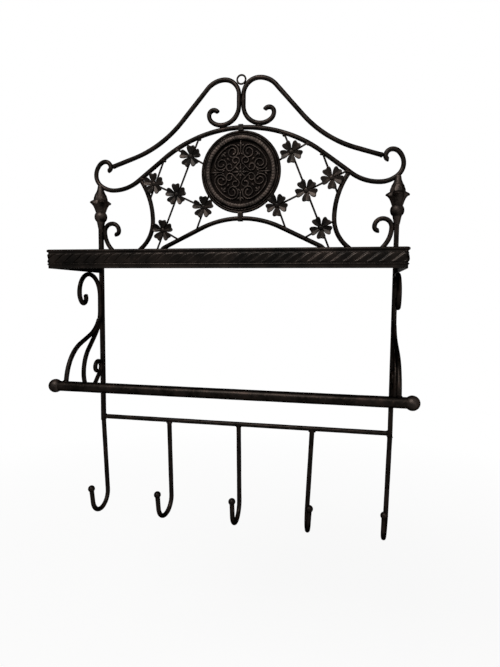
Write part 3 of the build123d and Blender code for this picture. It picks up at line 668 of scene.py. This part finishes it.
def rosebud(height, a):
    # a rose on each of four sides: a raised ring and a knob in it, by the distance d from its middle,
    # exp(-((d - ring) / rim) ^ 2), over four lobes that fade towards the foot and the tip
    side = np.mod(a + np.pi / 4, np.pi / 2) - np.pi / 4
    d = np.hypot(finial["budRadius"] * side, finial["roseSquash"] * (height - finial["roseHeight"]))
    rose = np.exp(-((d - finial["roseRing"]) / finial["roseRim"]) ** 2)
    rose = rose + 0.5 * np.exp(-(d / finial["roseKnob"]) ** 2)
    foot, footFade = finial["lobeFoot"]
    top, topFade = finial["lobeTop"]
    fade = np.clip((top - height) / topFade, 0, 1) * np.clip((height - foot) / footFade, 0, 1)
    return 1 + fade * finial["lobe"] * np.cos(4 * a) + finial["roseProud"] * rose


def calyx():
    # four leaves in one cup: along the leaf's line, out to a share 1 - notch |sin 2a| ^ 1.5 of it,
    # with a groove |sin 2a| ^ 24 where two leaves meet, then in and up over the leaves' backs to the bud
    a = np.linspace(0, 2 * np.pi, 72, endpoint=False)
    share = 1 - finial["notch"] * np.abs(np.sin(2 * a)) ** 1.5
    line = throughPoints(finial["leaf"], 60)[:, :2]
    u = np.linspace(0, 1, 16)[:, None] * share
    at = np.linspace(0, 1, len(line))
    radius = np.interp(u, at, line[:, 0]) * (1 - finial["groove"] * np.abs(np.sin(2 * a)) ** 24)
    height = np.interp(u, at, line[:, 1])
    t = np.linspace(0, 1, 7)[1:, None]
    radius = np.concatenate([radius, radius[-1] + t * (finial["leafTop"][0] - radius[-1])])
    height = np.concatenate([height, height[-1] + t ** 0.7 * (finial["leafTop"][1] - height[-1])])
    return skin(np.stack([radius * np.cos(a), radius * np.sin(a), height], -1))


finialShells = []
bud = throughPoints(finial["bud"], 70)[:, :2]
stem = np.concatenate([throughPoints(finial["collar"], 8)[:, :2],
                       ballProfile(finial["ball"], finial["ballHeight"], -50, 50), finial["waist"]])
for side, turn in zip((1, -1), finial["turns"]):
    base = (side * rack["half"], 0, uprightTop)
    spin = turnAbout("Z", turn)
    shells = [turnedOn(stem, (0, 0, 0), (0, 0, 1)), turnedOn(bud, (0, 0, 0), (0, 0, 1), 112, rosebud)]
    shells.append(calyx())
    for quarter in quarters:
        x, y = finial["tipReach"] * heading(quarter)
        shells.append(lump((x, y, finial["tipHeight"]), finial["tip"], uneven=finial["tipUneven"]))
    finialShells += [moved(shell, spin, base) for shell in shells]
makePiece("finials", finialShells, castPaint, ["finials"], sharp=55)
print("uprights and finials made")

# Shelf band with its rope moulding; the panel and the collars keep their shape

band = {
    "x": 202.0, "y": 127.45, "back": -3.0, "corner": 4.0, "height": 21.6, "wall": 1.5,
    # a bead's drop and reach
    "bead": (1.65, 1.65), "beadProud": 1.5, "lowBead": (16.9, 1.05),
    "ropeMiddle": 10.1, "ropeHalf": 5.0, "ropeProud": 1.45, "pitch": 12.2, "lean": 42.0, "groove": 0.9,
    "skew": 1.7, "strandFloor": 0.05, "ropePower": 0.6,
    # height and length of the strip's two waves under its top bead
    "longWave": (0.10, 31.0), "shortWave": (0.06, 11.3), "waveSink": 0.16, "waveFrom": 3.0,
}
endRun = band["y"] + band["back"] - band["corner"]
frontRun = 2 * (band["x"] - band["corner"])
bandBends = [(endRun,), (band["corner"], -90), (frontRun,), (band["corner"], -90), (endRun,)]
bandLine = bentLine((band["x"], band["back"]), -90, bandBends, step=0.14)
bandRun = np.concatenate([[0], np.cumsum(np.linalg.norm(np.diff(bandLine[:, :2], axis=0), axis=1))])
# heights down the strip, close together on the beads and the rope
drop = np.concatenate([np.linspace(0, 3.3, 10), [3.7, 4.3, 4.9], np.linspace(5.11, 15.09, 23), [15.4],
                       np.linspace(15.85, 17.95, 8), [18.4, 19.8, 21.2, band["height"]]])


def halfRound(at, middle, reach):
    return reach * np.sqrt(np.clip(1 - ((at - middle) / reach) ** 2, 0, None))


# a strand lies as a helix does on a cord, along the run by half / tan(lean) * asin(height / half), the height
# taken over the middle. Its bulge is sin(pi q) ^ groove, q the phase within a strand raised to the skew,
# which steepens its upper edge.
overMiddle = np.clip((drop - band["ropeMiddle"]) / band["ropeHalf"], -1, 1)
lay = band["ropeHalf"] / np.tan(np.radians(band["lean"])) * np.arcsin(overMiddle)
phase = (bandRun[:, None] - lay) / band["pitch"]
envelope = np.sqrt(np.clip(1 - ((drop - band["ropeMiddle"]) / band["ropeHalf"]) ** 2, 0, None))
strand = np.sin(np.pi * np.mod(phase, 1) ** band["skew"]) ** band["groove"]
strand = band["strandFloor"] + (1 - band["strandFloor"]) * strand
rope = band["ropeProud"] * envelope ** band["ropePower"] * strand
topBead = halfRound(drop, *band["bead"]) * band["beadProud"] / band["bead"][1]
longWave = band["longWave"][0] * np.sin(bandRun / band["longWave"][1])[:, None]
shortWave = band["shortWave"][0] * np.sin(bandRun / band["shortWave"][1])[:, None]
waver = longWave + shortWave - band["waveSink"]
outer = topBead + halfRound(drop, *band["lowBead"]) + rope + waver * (drop > band["waveFrom"])
inner = np.full((len(bandRun), 4), -band["wall"])
offset = np.concatenate([outer, inner], 1)
fall = np.concatenate([drop, [band["height"], 14.0, 7.0, 0.0]])
bandAcross = np.stack([-np.sin(bandLine[:, 2]), np.cos(bandLine[:, 2]), 0 * bandRun], 1)
bandCentre = np.stack([bandLine[:, 0], bandLine[:, 1], 0 * bandRun + rack["shelfTop"]], 1)
bandDrop = fall[:, None] * np.array([0, 0, 1])
bandRings = bandCentre[:, None] + offset[..., None] * bandAcross[:, None] - bandDrop
makePiece("shelfBand", [skin(bandRings)], sheetPaint, ["shelf_band"], sharp=60)
for name in ("shelf_panel", "top_collar", "bottom_collar"):
    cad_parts[name].data.materials.clear()
    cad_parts[name].data.materials.append(sheetPaint)
print("shelf made")

# Brackets and towel bar

bracket = {
    "top": [(29, 90), (25, 90), (16, 50), (6.5, 130), (8, 35)],
    "seatRun": 18.0, "stemBend": (50.0, 46.0), "stemRun": 25.0,
    "low": [(45, 46), (30, 40), (9, 50), (26, 45)], "rise": 11.0, "lowCurl": [(8, 90), (8, 90), (5, 90)],
    "leg": (55.0, 60.0), "legLean": 10.0, "legStand": 8.35, "legRun": 27.0, "legEnd": (45.0, -48.0),
    "legSink": 1.0,
}
seat = 2 * rod
bandFoot = rack["shelfTop"] - band["height"]
seatZ = bandFoot - np.sqrt(rod ** 2 - (band["x"] - band["wall"] - rack["half"]) ** 2) - bracket["top"][0][0]
stemDown = [(bracket["seatRun"],), bracket["stemBend"], (bracket["stemRun"],)] + opposite(bracket["low"])
lowEnd = bentLine((seat, seatZ), 270, stemDown)[-1]
rise = heading(np.degrees(lowEnd[2]))
riseRun = (lowEnd[0] - seat - bracket["rise"] * (1 - rise[1])) / -rise[0]
stemDown += [(riseRun,), (bracket["rise"], -np.degrees(np.arcsin(-rise[0])))] + opposite(bracket["lowCurl"])
scrollSide = bothWays((seat, seatZ), 90, opposite(bracket["top"]), stemDown)
legSide = bentLine((rack["barDepth"], rack["barHeight"]), 90 + bracket["legLean"], [
    (bracket["legStand"],), bracket["leg"], (bracket["legRun"],), bracket["legEnd"]])
legSide = trimmedAt(legSide, scrollSide, rod - bracket["legSink"])
ends = (rack["half"], -rack["half"])
scrolls = [bar(scrollSide, endPlane(x)) for x in ends]
makePiece("bracketScrolls", scrolls, barPaint, ["bracket_scrolls"])
legs = [bar(legSide, endPlane(x), worn=0.2) for x in ends]
makePiece("bracketLegs", legs, barPaint, ["bracket_legs"])

towel = {
    "radius": 6.3, "ball": 8.45, "ballX": 214.0, "socket": 4.5, "ballFrom": -52,
    # height as a share of the radius, and length, of the tube's two waves
    "longWave": (0.006, 13.0), "shortWave": (0.004, 5.3),
    # lip at the ball's mouth: steps along and out from the ball's first ring, then a share of the radius
    "lip": [(-0.9, 0.75), (-0.2, 0.9)], "lipShare": 0.93,
}
barEnd = towel["ballX"] - towel["socket"]
barX = np.linspace(-barEnd, barEnd, 90)
longWave = towel["longWave"][0] * np.sin(barX / towel["longWave"][1])
shortWave = towel["shortWave"][0] * np.sin(barX / towel["shortWave"][1])
barProfile = np.column_stack([barX, towel["radius"] * (1 + longWave + shortWave)])
barMiddle = (0, -rack["barDepth"], rack["barHeight"])
makePiece("towelBar", [turnedOn(barProfile, barMiddle, (1, 0, 0), 28)], barPaint, ["towel_bar"])
balls = []
for side in (1, -1):
    profile = ballProfile(towel["ball"], low=towel["ballFrom"], count=16)
    lip = (profile[0] + np.array(towel["lip"])) * [1, towel["lipShare"]]
    middle = (side * towel["ballX"], barMiddle[1], barMiddle[2])
    balls.append(turnedOn(np.concatenate([lip, profile]), middle, (side, 0, 0), 28))
makePiece("barBalls", balls, castPaint, ["bar_balls"], sharp=55)
print("brackets and towel bar made")

# Hook rail and hooks

hook = {
    "lean": 3.0, "bottom": -586.0, "bend": 20.0, "flare": 8.0, "tip": 20.0, "ball": 4.75,
    "turns": (3, 6, 1, -7, 7.5), "tilts": (0.9, 0.1, 0.2, -2.2, -1.3), "overlap": 1.0,
}
railLine = straight((-rack["half"] + rod, rack["railHeight"]), (rack["half"] - rod, rack["railHeight"]))
rail = bar(railLine, radius=rack["hookRadius"], worn=0.2)
makePiece("hookRail", [rail], barPaint, ["hook_rail"])
leanTurn = np.radians(hook["lean"])
shank = (rack["railHeight"] - hook["bottom"] - hook["bend"] * (1 + np.sin(leanTurn))) / np.cos(leanTurn)
hookLine = bentLine((0, rack["railHeight"]), 270 - hook["lean"], [
    (shank,), (hook["bend"], 180 + hook["lean"] - hook["flare"]), (hook["tip"],)])
tipAt = (0, -hookLine[-1, 0], hookLine[-1, 1])
hookX = np.linspace(-rack["half"], rack["half"], 5)
for i, (x, turn, tilt) in enumerate(zip(hookX, hook["turns"], hook["tilts"])):
    line = hookLine if 0 < i < 4 else hookLine[hookLine[:, 1] < rack["uprightFoot"] + hook["overlap"]]
    hung = turnAbout("Y", -tilt) @ turnAbout("Z", -turn)
    top = np.array([0, 0, rack["railHeight"]])
    shells = [bar(line, endPlane(0), rack["hookRadius"], worn=0.3),
              turnedOn(ballProfile(hook["ball"]), tipAt, (0, 0, 1), 20)]
    shells = [moved(shell, hung, top - hung @ top + [x, 0, 0]) for shell in shells]
    makePiece(f"hook{i + 1}", shells, barPaint, [f"hook_{i + 1}"])
print("hooks made")

# Weld beads where bars meet

weld = {
    # shift from the point it is put at, and half sizes
    "railHook": ((0, 0, -3.6), (4.3, 3.5, 1.9)), "railEnd": ((-3.6, 0, 0), (2.0, 3.3, 3.9)),
    "uprightFoot": ((0, 0, -0.3), (3.5, 3.4, 1.6)), "steepWire": ((0, 0, -3.2), (2.6, 2.4, 1.9)),
    "crossWire": ((0, -2.4, -2.0), (2.4, 1.8, 2.2)), "sideArc": ((0, 0, -0.6), (4.0, 3.3, 3.0)),
    "neckEnd": ((0, 0, 0), (3.8, 3.3, 3.4)), "neckLoop": ((0, 0, 3.0), (4.2, 2.7, 1.7)),
    "bracketSeat": ((0, -0.2, 2.0), (2.4, 1.8, 3.4)), "leg": ((0, 0, 6.6), (3.9, 3.9, 1.7)),
    "smallScroll": ((0, 0, 39.0), (1.6, 2.4, 4.0)), "archFoot": ((0, 0, 0.6), (4.0, 3.8, 1.3)),
    "slantFoot": ((0, 0, 0.6), (5.0, 3.8, 1.3)), "neckPair": ((0, 0, -26.0), (1.5, 3.2, 5.0)),
}
loopShare = 0.9
beads = []


def addWeld(kind, x, y, z, side=1):
    shift, radii = weld[kind]
    beads.append(lump((side * (x + shift[0]), y + shift[1], z + shift[2]), radii))


for x in hookX[1:4]:
    addWeld("railHook", x, 0, rack["railHeight"])
for side in (1, -1):
    addWeld("railEnd", rack["half"], 0, rack["railHeight"], side)
    addWeld("uprightFoot", rack["half"], 0, rack["uprightFoot"], side)
    for kind, tops in (("steepWire", ("aTop", "bTop")), ("crossWire", ("dTop", "eTop"))):
        for top in tops:
            x, z = archPoint(lattice[top])
            addWeld(kind, x, 0, z, side)
    addWeld("sideArc", arcLine[-1, 0], 0, arcLine[-1, 1], side)
    addWeld("neckEnd", neckLine[-1, 0], 0, neckLine[-1, 1], side)
    x, z = archPoint(rod + neck["loop"] * loopShare)
    addWeld("neckLoop", x, 0, z, side)
    addWeld("bracketSeat", rack["half"], -rod, seatZ, side)
    addWeld("leg", rack["half"], -rack["barDepth"], rack["barHeight"], side)
    addWeld("smallScroll", rack["half"] - rod, 0, rack["panelTop"], side)
    addWeld("archFoot", lowArch["footX"], 0, rack["panelTop"], side)
    addWeld("slantFoot", arcLine[0, 0], 0, rack["panelTop"], side)
    addWeld("slantFoot", smallLine[0, 0], 0, rack["panelTop"], side)
addWeld("neckPair", 0, 0, 0)
makePiece("weldBeads", beads, barPaint)
print("welds made")

# Floor, light and camera

studio = {
    "floor": -950.0, "floorSize": 6.0, "floorTone": "#f2f1ef", "floorRough": 0.8,
    # share of the floor that shows as plain white near the rack, and the metres over which it grows to all
    "floorGlow": 0.88, "glowFade": (1.0, 2.0),
    # strength of the white world as it lights the rack, and as it is seen
    "worldFill": 0.3, "worldSeen": 1.0,
    "target": (0, -0.03, -0.28),
}
lamps = {
    "overheadSoftbox": {"place": (-0.25, -1.0, 0.72), "size": (0.7, 0.4), "power": 24.0},
    "rightSoftbox": {"place": (0.9, -1.1, 0.0), "size": (0.4, 0.4), "power": 3.0},
}


def seenDirectly(tree):
    # 1 for a ray from the camera, a reflection or a clear pane, 0 for one that only carries light
    ray = addNode(tree, "ShaderNodeLightPath").outputs
    seen = ray["Is Camera Ray"]
    for kind in ("Is Glossy Ray", "Is Transmission Ray"):
        seen = addNode(tree, "ShaderNodeMath", {"operation": "MAXIMUM"}, {0: seen, 1: ray[kind]}).outputs[0]
    return seen


floorMesh = bpy.data.meshes.new("studioFloor")
s = studio["floorSize"]
z = studio["floor"] / 1000
floorMesh.from_pydata([(-s, -s, z), (s, -s, z), (s, s, z), (-s, s, z)], [], [(0, 1, 2, 3)])
floor = bpy.data.objects.new("studioFloor", floorMesh)
bpy.context.scene.collection.objects.link(floor)
floorPaint = bpy.data.materials.new("paleStudioFloor")
floorPaint.use_nodes = True
tree = floorPaint.node_tree
glow = addNode(tree, "ShaderNodeEmission", inputs={"Strength": 1.0}).outputs[0]
matt = tree.nodes["Principled BSDF"]
matt.inputs["Base Color"].default_value = linear(studio["floorTone"])
matt.inputs["Roughness"].default_value = studio["floorRough"]
away = addNode(tree, "ShaderNodeVectorMath", {"operation": "LENGTH"}, {
    0: addNode(tree, "ShaderNodeTexCoord").outputs["Object"]}).outputs["Value"]
glowShare = addNode(tree, "ShaderNodeMapRange", inputs={
    "Value": away, "From Min": studio["glowFade"][0], "From Max": studio["glowFade"][1],
    "To Min": studio["floorGlow"], "To Max": 1.0}).outputs["Result"]
share = addNode(tree, "ShaderNodeMath", {"operation": "MULTIPLY"}, {
    0: seenDirectly(tree), 1: glowShare}).outputs[0]
mixed = addNode(tree, "ShaderNodeMixShader", inputs={0: share, 1: matt.outputs[0], 2: glow}).outputs[0]
tree.links.new(mixed, tree.nodes["Material Output"].inputs["Surface"])
floorMesh.materials.append(floorPaint)

world = bpy.data.worlds.new("studioWorld")
bpy.context.scene.world = world
world.use_nodes = True
tree = world.node_tree
level = addNode(tree, "ShaderNodeMapRange", inputs={
    "Value": seenDirectly(tree),
    "To Min": studio["worldFill"], "To Max": studio["worldSeen"]}).outputs["Result"]
tree.links.new(level, tree.nodes["Background"].inputs["Strength"])
tree.nodes["Background"].inputs["Color"].default_value = (1, 1, 1, 1)

for name, box in lamps.items():
    data = bpy.data.lights.new(name, "AREA")
    data.shape = "RECTANGLE"
    data.size, data.size_y = box["size"]
    data.energy = box["power"]
    lamp = bpy.data.objects.new(name, data)
    bpy.context.scene.collection.objects.link(lamp)
    lamp.location = box["place"]
    lamp.rotation_euler = (Vector(studio["target"]) - lamp.location).to_track_quat("-Z", "Y").to_euler()
print("floor and lights made")

# degrees, metres, and the focal length and long side of the photo in pixels
camera = {
    "yaw": -11.13, "pitch": -4.49, "roll": 0.55, "place": (0.1427, -0.6513, -0.278),
    "focal": 495.6, "longSide": 667, "sensor": 36,
}
yaw, pitch, roll = np.radians([camera["yaw"], camera["pitch"], camera["roll"]])
ahead = np.array([np.sin(yaw) * np.cos(pitch), np.cos(yaw) * np.cos(pitch), np.sin(pitch)])
right = np.array([np.cos(yaw), -np.sin(yaw), 0])
up = np.cross(right, ahead)
rolledRight = np.cos(roll) * right + np.sin(roll) * up
rolledUp = -np.sin(roll) * right + np.cos(roll) * up
data = bpy.data.cameras.new("photoCamera")
data.lens = camera["sensor"] * camera["focal"] / camera["longSide"]
data.sensor_width = camera["sensor"]
data.clip_start = 0.01
eyePoint = bpy.data.objects.new("photoCamera", data)
bpy.context.scene.collection.objects.link(eyePoint)
turn = Matrix(np.column_stack([rolledRight, rolledUp, -ahead]).tolist()).to_4x4()
eyePoint.matrix_world = Matrix.Translation(camera["place"]) @ turn
bpy.context.scene.camera = eyePoint
bpy.context.scene.view_settings.view_transform = "Standard"
print("camera set")
